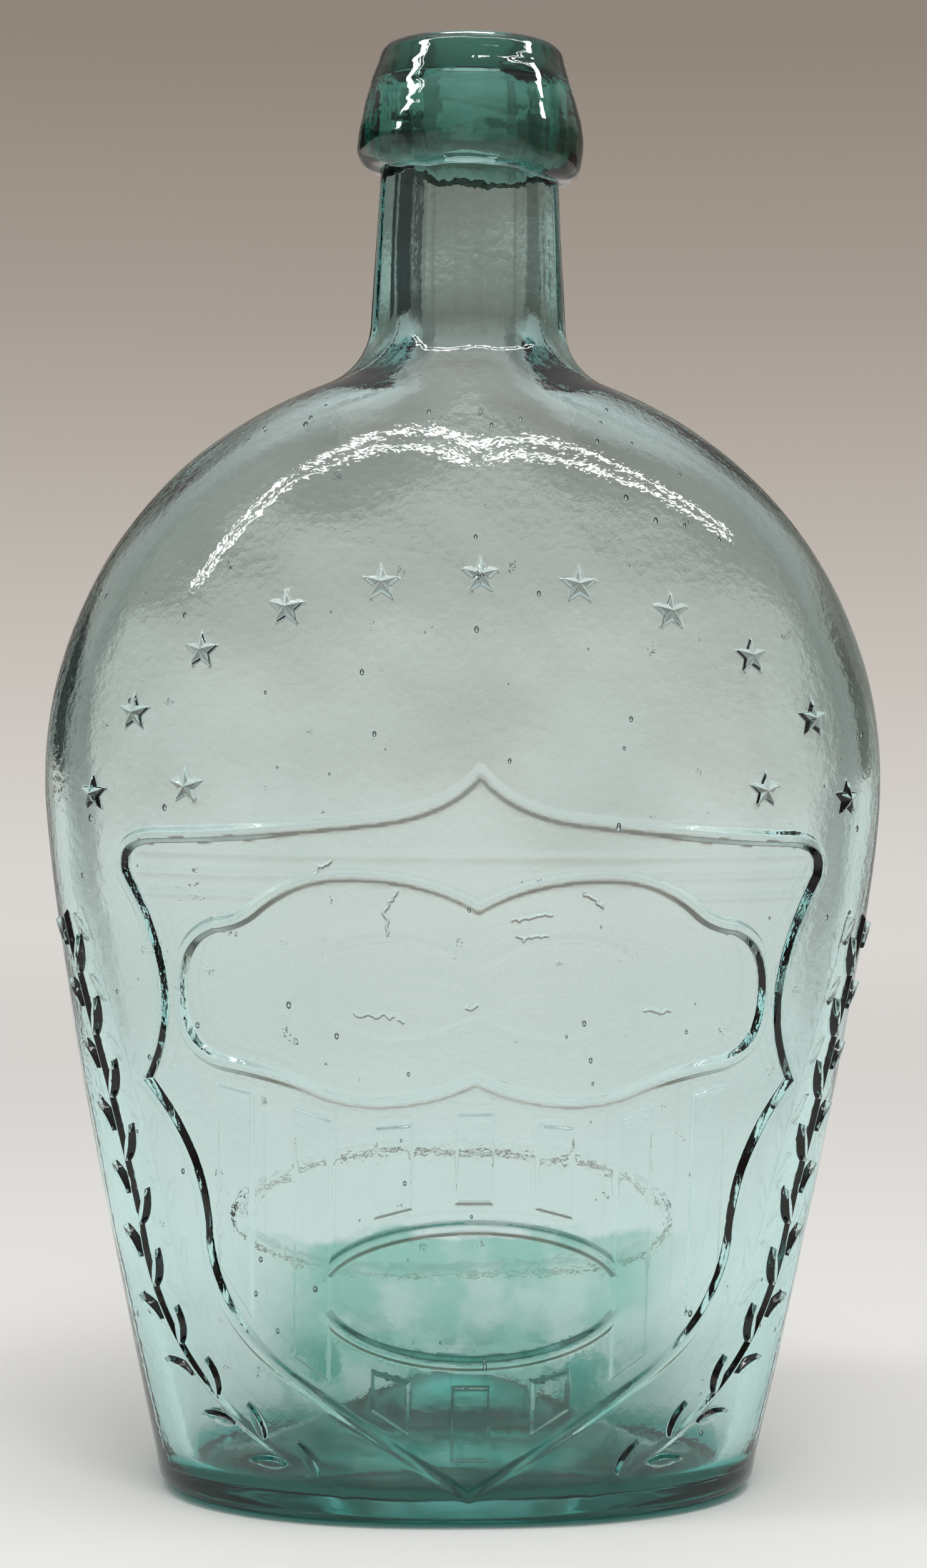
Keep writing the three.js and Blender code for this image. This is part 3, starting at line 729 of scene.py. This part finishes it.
def seeds(skin):
    """Small bubbles in the wall, as hollows that face inwards."""
    random = np.random.default_rng(11)
    count = SEED_COUNT
    first, last = skin.outer_rows
    turn = random.uniform(-1, 1, count)
    row = random.uniform(first + 6, last - 30, count)
    depth = random.uniform(*SEED_DEPTHS, count) * BODY_WALL
    centres = skin.spot(turn, row) - skin.normal(turn, row) * depth[:, None]
    sizes = random.uniform(*SEED_RADII, count)
    ball = bmesh.new()
    bmesh.ops.create_icosphere(ball, subdivisions=2, radius=1)
    shape = np.array([vertex.co for vertex in ball.verts])
    faces = [[vertex.index for vertex in face.verts][::-1] for face in ball.faces]
    ball.free()
    points = [centre + shape * size * [1, 1, SEED_STRETCH] for centre, size in zip(centres, sizes)]
    corners = []
    for index in range(count):
        corners += [[corner + index * len(shape) for corner in face] for face in faces]
    return np.concatenate(points), corners


def build_body(skin):
    sheet = flat_sheet(skin)
    refine_relief(sheet, skin)
    sheet.verts.index_update()
    turn, row = sheet_points(sheet)
    points = body_points(skin, turn, row)
    faces = [[vertex.index for vertex in face.verts] for face in sheet.faces]
    sheet.free()
    bubbles, bubble_faces = seeds(skin)
    faces += [[corner + len(points) for corner in face] for face in bubble_faces]
    piece = make_object("blown_body", np.concatenate([points, bubbles]), faces)
    is_inside = np.concatenate([row >= skin.inner_row, np.zeros(len(bubbles), bool)])
    layer = piece.data.attributes.new("inside", "FLOAT", "POINT")
    layer.data.foreach_set("value", is_inside.astype(float))
    return piece


def collar_section():
    """The collar's section as a loop of (radius, height): seat, bore, lip, swelling side, skirt."""
    lip = NECK_END_RADIUS + COLLAR_LIP_STEP
    swell_height = COLLAR_FOOT + COLLAR_SKIRT
    swell = neck_radius(swell_height) + COLLAR_SWELL
    seat_end = (NECK_END_RADIUS - FUSE_OVERLAP, NECK_END - FUSE_OVERLAP)
    seat_foot = (neck_radius(COLLAR_FOOT) - FUSE_OVERLAP, COLLAR_FOOT)
    bore_foot = (BORE_END_RADIUS, NECK_END - FUSE_OVERLAP)
    bore_top = (BORE_END_RADIUS, LIP_TOP - LIP_ROUND)
    straight = evenly(np.array([seat_foot, seat_end]), COLLAR_STEP)
    across = evenly(np.array([seat_end, bore_foot]), COLLAR_STEP)[1:]
    up = evenly(np.array([bore_foot, bore_top]), COLLAR_STEP)[1:]
    side = chain(bore_top, [
        ((BORE_END_RADIUS, LIP_TOP), (BORE_END_RADIUS + LIP_ROUND, LIP_TOP)),
        ((lip, LIP_TOP), (lip + LIP_ROUND / 4, LIP_TOP - LIP_ROUND)),
        ((swell, swell_height + COLLAR_SKIRT), (swell, swell_height)),
        ((swell, COLLAR_FOOT), seat_foot),
    ])
    return np.concatenate([straight, across, up, evenly(side, COLLAR_STEP)[1:-1]])


def build_collar():
    section = collar_section()
    angle = np.linspace(0, 2 * math.pi, COLLAR_COLUMNS, endpoint=False)
    radius = np.repeat(section[:, 0], COLLAR_COLUMNS)
    height = np.repeat(section[:, 1], COLLAR_COLUMNS)
    around = np.tile(angle, len(section))
    points = np.column_stack([radius * np.sin(around), -radius * np.cos(around), height])
    outward = points * [1, 1, 0] / radius[:, None]
    free = smooth_step(radius - neck_radius(height), 0.1, 1.5)
    ripple = 0
    for rise, shrink, length, seed in COLLAR_WAVES:
        ripple = ripple + rise * waves(points * [shrink, shrink, 1], length, seed)
    points = points + outward * (ripple * free)[:, None]
    slack = 1 - smooth_step(height, COLLAR_FOOT, COLLAR_FOOT + 2 * COLLAR_SKIRT)
    droop = COLLAR_SLANT * points[:, 0] / (neck_radius(COLLAR_FOOT) + COLLAR_SWELL)
    droop += swells(outward * DROOP_RADIUS, DROOP_WAVES)
    points[:, 2] -= slack * droop
    return make_object("tooled_collar", points, collar_faces(len(section)))


def collar_faces(count):
    """Faces between rings of points, each ring joined to the next and the last to the first."""
    faces = []
    for ring in range(count):
        here = ring * COLLAR_COLUMNS
        there = (ring + 1) % count * COLLAR_COLUMNS
        for column in range(COLLAR_COLUMNS):
            after = (column + 1) % COLLAR_COLUMNS
            faces.append([here + column, there + column, there + after, here + after])
    return faces


class Graph:
    """Short names for making and linking shader nodes."""

    def __init__(self, tree):
        self.tree = tree
        self.tree.nodes.clear()

    def node(self, kind, **settings):
        made = self.tree.nodes.new(kind)
        for name, value in settings.items():
            setattr(made, name, value)
        return made

    def link(self, source, target):
        self.tree.links.new(source, target)

    def math(self, operation, *values):
        made = self.node("ShaderNodeMath", operation=operation)
        for socket, value in zip(made.inputs, values):
            self.feed(socket, value)
        return made.outputs[0]

    def feed(self, socket, value):
        if isinstance(value, bpy.types.NodeSocket):
            self.link(value, socket)
        else:
            socket.default_value = value

    def spread(self, value, from_low, from_high, to_low=0.0, to_high=1.0):
        made = self.node("ShaderNodeMapRange", interpolation_type="SMOOTHSTEP")
        for socket, number in zip(made.inputs, (value, from_low, from_high, to_low, to_high)):
            self.feed(socket, number)
        return made.outputs[0]

    def blend(self, share, first, second):
        made = self.node("ShaderNodeMix", data_type="RGBA")
        for name, value in (("Factor", share), ("A", first), ("B", second)):
            self.feed(made.inputs[name], value)
        return made.outputs["Result"]

    def noise(self, coordinates, scale, detail=3.0):
        made = self.node("ShaderNodeTexNoise")
        self.link(coordinates, made.inputs["Vector"])
        made.inputs["Scale"].default_value = scale
        made.inputs["Detail"].default_value = detail
        return made.outputs["Fac"]


def axes_of(graph, place):
    parts = graph.node("ShaderNodeSeparateXYZ")
    graph.link(place, parts.inputs[0])
    return parts.outputs


def dirt_and_shade(graph, place):
    """Film in the front below a tide line, part residue and part painted shade. Grime by the inside
    floor, and painted contact shade under the base.
    """
    across, back, height = axes_of(graph, place)
    inside = graph.node("ShaderNodeAttribute", attribute_name="inside").outputs["Fac"]
    near_middle = graph.spread(graph.math("ABSOLUTE", across), *DIRT_AND_SHADE_HALF_WIDTH)
    middle = graph.math("MULTIPLY", inside, near_middle)
    ragged = graph.math("MULTIPLY_ADD", graph.noise(place, 70, 5.0), TIDE_RAGGEDNESS, height)
    # Painted shade: below the tide line the film darkens the inside of the front evenly, for the shadow
    # behind the flask seen through it
    below = graph.math("MULTIPLY", graph.spread(ragged, *TIDE_AND_SHADE_LINE), graph.spread(back, 0.0, -0.01))
    film_and_shade = graph.math("MULTIPLY", below, graph.spread(graph.noise(place, 120), 0.35, 0.6, 0.6))
    patches = graph.spread(graph.noise(place, 150), 0.48, 0.62)
    grime_and_shade = graph.math("MULTIPLY", graph.spread(ragged, *GRIME_LINE), patches)
    film_and_shade, grime_and_shade = [graph.math("MULTIPLY", middle, share) for share in (film_and_shade, grime_and_shade)]
    # Painted contact shade: the lowest few millimetres of the glass turn to the grime colour
    return film_and_shade, graph.math("MAXIMUM", grime_and_shade, graph.spread(height, *BASE_SHADE_LINE))


def glass(name, tint, density, bump_scale):
    """Clear glass whose colour comes from its depth, with faint ripples, haze, stains and painted
    shade.
    """
    material = bpy.data.materials.new(name)
    material.use_nodes = True
    graph = Graph(material.node_tree)
    place = graph.node("ShaderNodeTexCoord").outputs["Object"]
    shader = graph.node("ShaderNodeBsdfPrincipled")
    shader.inputs["Transmission Weight"].default_value = 1
    shader.inputs["IOR"].default_value = GLASS_BENDING
    film_and_shade, grime_and_shade = dirt_and_shade(graph, place)
    # Painted shade is mixed into the base colour here, along with residue and grime
    colour = graph.blend(film_and_shade, (1, 1, 1, 1), FILM_AND_SHADE_COLOUR)
    graph.link(graph.blend(grime_and_shade, colour, GRIME_AND_SHADE_COLOUR), shader.inputs["Base Color"])
    height = axes_of(graph, place)["Z"]
    haze = graph.spread(graph.noise(place, 60), 0.45, 0.75, 0.0, HAZE_ROUGHNESS)
    haze = graph.math("MULTIPLY", haze, graph.spread(height, *HAZE_TOP))
    haze = graph.math("MULTIPLY_ADD", film_and_shade, FILM_AND_SHADE_ROUGHNESS, haze)
    graph.link(graph.math("MULTIPLY_ADD", grime_and_shade, GRIME_AND_SHADE_ROUGHNESS, haze), shader.inputs["Roughness"])
    bump = graph.node("ShaderNodeBump")
    bump.inputs["Strength"].default_value = RIPPLE_STRENGTH
    bump.inputs["Distance"].default_value = RIPPLE_DEPTH
    graph.link(graph.noise(place, bump_scale, 2.0), bump.inputs["Height"])
    graph.link(bump.outputs["Normal"], shader.inputs["Normal"])
    depth = graph.node("ShaderNodeVolumeAbsorption")
    depth.inputs["Color"].default_value = (*tint, 1)
    depth.inputs["Density"].default_value = density
    output = graph.node("ShaderNodeOutputMaterial")
    graph.link(shader.outputs["BSDF"], output.inputs["Surface"])
    graph.link(depth.outputs["Volume"], output.inputs["Volume"])
    return material


def floor_material():
    """Pale paper that fades to nothing, so that the backdrop shows beyond it."""
    material = bpy.data.materials.new("pale_floor")
    material.use_nodes = True
    graph = Graph(material.node_tree)
    place = graph.node("ShaderNodeTexCoord").outputs["Object"]
    paper = graph.node("ShaderNodeBsdfDiffuse")
    paper.inputs["Color"].default_value = FLOOR_COLOUR
    distance = graph.node("ShaderNodeVectorMath", operation="LENGTH")
    graph.link(place, distance.inputs[0])
    fade_start, fade_end = [FLOOR_RADIUS * share for share in FLOOR_FADE]
    fade = graph.spread(distance.outputs["Value"], fade_start, fade_end)
    mix = graph.node("ShaderNodeMixShader")
    graph.link(fade, mix.inputs["Fac"])
    graph.link(paper.outputs["BSDF"], mix.inputs[1])
    graph.link(graph.node("ShaderNodeBsdfTransparent").outputs["BSDF"], mix.inputs[2])
    output = graph.node("ShaderNodeOutputMaterial")
    graph.link(mix.outputs["Shader"], output.inputs["Surface"])
    return material


def add_floor():
    disc = bmesh.new()
    bmesh.ops.create_circle(disc, cap_ends=True, segments=96, radius=FLOOR_RADIUS)
    mesh = bpy.data.meshes.new("floor")
    disc.to_mesh(mesh)
    disc.free()
    floor = bpy.data.objects.new("floor", mesh)
    floor.location.z = -FLOOR_DROP
    mesh.materials.append(floor_material())
    bpy.context.scene.collection.objects.link(floor)


def backdrop(graph, z):
    ramp = graph.node("ShaderNodeValToRGB")
    while len(ramp.color_ramp.elements) < len(BACKDROP):
        ramp.color_ramp.elements.new(0.5)
    for element, (sine, colour) in zip(ramp.color_ramp.elements, BACKDROP):
        element.position = (sine + 1) / 2
        element.color = (*colour, 1)
    graph.link(graph.math("MULTIPLY_ADD", z, 0.5, 0.5), ramp.inputs["Fac"])
    return ramp.outputs["Color"]


def dark_flags(graph, bearing, z):
    """Upright flags all round, between the views an eighth of a turn apart."""
    start = math.radians(-8 * VIEW_AZIMUTH)
    eighths = graph.math("COSINE", graph.math("MULTIPLY_ADD", bearing, 8.0, start))
    flags = graph.spread(eighths, -0.2, -0.8, 0.0, 0.5)
    low = graph.spread(graph.math("ABSOLUTE", z), 0.55, 0.3)
    return graph.math("MULTIPLY", flags, low)


def dark_band(graph, z):
    """A band all round, a little above the horizon."""
    faint = graph.spread(z, -0.02, 0.03, 0.0, 0.06)
    band = graph.math("ADD", faint, graph.spread(z, 0.045, 0.085, 0.0, 0.31))
    return graph.math("MULTIPLY", band, graph.spread(z, 0.3, 0.2))


def dark_wings(graph, bearing, z):
    """Two wings behind the flask, which give the neck its dark streaks."""
    aside = graph.math("SUBTRACT", bearing, math.radians(VIEW_AZIMUTH))
    right = graph.spread(aside, 0.5, 0.7, 0.0, 0.7)
    wings = graph.math("ADD", graph.spread(aside, -0.42, -0.55), right)
    ends = graph.spread(graph.math("ABSOLUTE", aside), 1.5, 1.2)
    heights = graph.math("MULTIPLY", graph.spread(z, -0.03, 0.0), graph.spread(z, 0.3, 0.2))
    return graph.math("MULTIPLY", graph.math("MULTIPLY", wings, ends), heights)


def add_world():
    """A pale backdrop, darkest a little above the horizon.

    Flags, a band and wings darken it for the glass but not for the camera. What is neither seen,
    mirrored nor seen through is lit by a plain, even room.
    """
    world = bpy.data.worlds.new("studio")
    bpy.context.scene.world = world
    world.use_nodes = True
    graph = Graph(world.node_tree)
    x, y, z = axes_of(graph, graph.node("ShaderNodeTexCoord").outputs["Generated"])
    bearing = graph.math("ARCTAN2", x, y)
    shade = graph.math("MAXIMUM", dark_band(graph, z), dark_wings(graph, bearing, z))
    shade = graph.math("MAXIMUM", dark_flags(graph, bearing, z), shade)
    light_path = graph.node("ShaderNodeLightPath").outputs
    unseen = graph.math("SUBTRACT", 1.0, light_path["Is Camera Ray"])
    dark = graph.math("MULTIPLY", shade, unseen)
    picture = graph.node("ShaderNodeBackground")
    graph.link(graph.blend(dark, backdrop(graph, z), SHADE_COLOUR), picture.inputs["Color"])
    plain = graph.node("ShaderNodeBackground")
    plain.inputs["Color"].default_value = ROOM_COLOUR
    plain.inputs["Strength"].default_value = ROOM_STRENGTH
    seen = graph.math("MAXIMUM", light_path["Is Camera Ray"], light_path["Is Glossy Ray"])
    seen = graph.math("MAXIMUM", seen, light_path["Is Transmission Ray"])
    blend = graph.node("ShaderNodeMixShader")
    graph.link(seen, blend.inputs["Fac"])
    graph.link(plain.outputs["Background"], blend.inputs[1])
    graph.link(picture.outputs["Background"], blend.inputs[2])
    output = graph.node("ShaderNodeOutputWorld")
    graph.link(blend.outputs["Shader"], output.inputs["Surface"])


def add_lamp(name, place, size, watts, turn=0.0, is_reflected=True, lit=()):
    """A soft box that faces down, hidden from the camera. With lit, it lights those pieces alone."""
    data = bpy.data.lights.new(name, "AREA")
    data.shape = "RECTANGLE"
    data.size, data.size_y = size
    data.energy = watts
    lamp = bpy.data.objects.new(name, data)
    lamp.location = place
    lamp.rotation_euler.z = math.radians(turn)
    lamp.visible_camera = False
    lamp.visible_transmission = False
    lamp.visible_glossy = is_reflected
    bpy.context.scene.collection.objects.link(lamp)
    if lit:
        lamp.light_linking.receiver_collection = bpy.data.collections.new(name)
    for piece in lit:
        lamp.light_linking.receiver_collection.objects.link(piece)


def add_tubes():
    """Pairs of thin tubes over the front, set so that their reflections follow the shoulder."""
    for name, x, y, length, turn in TUBES:
        watts = TUBE_GLOW * length * TUBE_WIDTH
        across = Vector((-math.sin(math.radians(turn)), math.cos(math.radians(turn))))
        for side in (-1, 1):
            place = Vector((x, y)) + across * side * TUBE_GAP / 2
            add_lamp(name, (*place, TUBE_HEIGHT), (length, TUBE_WIDTH), watts, turn)


def add_strips(piece):
    for name, x, y, length, turn in COLLAR_STRIPS:
        watts = TUBE_GLOW * length * STRIP_WIDTH
        add_lamp(name, (x, y, TUBE_HEIGHT), (length, STRIP_WIDTH), watts, turn, lit=[piece])


def add_camera():
    data = bpy.data.cameras.new("camera")
    data.sensor_width = SENSOR_SIZE
    data.lens = FOCAL_LENGTH * SENSOR_SIZE / PICTURE_HEIGHT
    camera = bpy.data.objects.new("camera", data)
    azimuth = math.radians(-VIEW_AZIMUTH)
    across = CAMERA_DISTANCE * math.sin(azimuth)
    camera.location = (across, -CAMERA_DISTANCE * math.cos(azimuth), CAMERA_HEIGHT)
    aim = Euler((math.radians(90 - CAMERA_DROP), 0, azimuth)).to_matrix()
    roll = Euler((0, 0, math.radians(CAMERA_ROLL))).to_matrix()
    camera.rotation_euler = (aim @ roll).to_euler()
    bpy.context.scene.collection.objects.link(camera)
    bpy.context.scene.camera = camera


body = build_body(Skin())
body.data.materials.append(glass("pale_aqua_glass", *BODY_GLASS))
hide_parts("flask_body")
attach(body, "root")

collar = build_collar()
collar.data.materials.append(glass("deep_aqua_glass", *COLLAR_GLASS))
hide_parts("applied_collar")
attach(collar, "root")

add_floor()
add_world()
add_lamp("key_box", place=(0.1, -0.75, 1.25), size=(0.5, 0.4), watts=4.5, is_reflected=False)
add_lamp("overhead_box", place=(0, 0, 1.5), size=(1.2, 0.9), watts=3)
add_tubes()
add_strips(collar)
top_watts = TUBE_GLOW * TOP_STRIP_SIZE[0] * TOP_STRIP_SIZE[1]
add_lamp("top_strip", (0, 0.5, 1.4), TOP_STRIP_SIZE, top_watts, lit=[body, collar])
add_camera()

bpy.context.scene.view_settings.view_transform = "Standard"
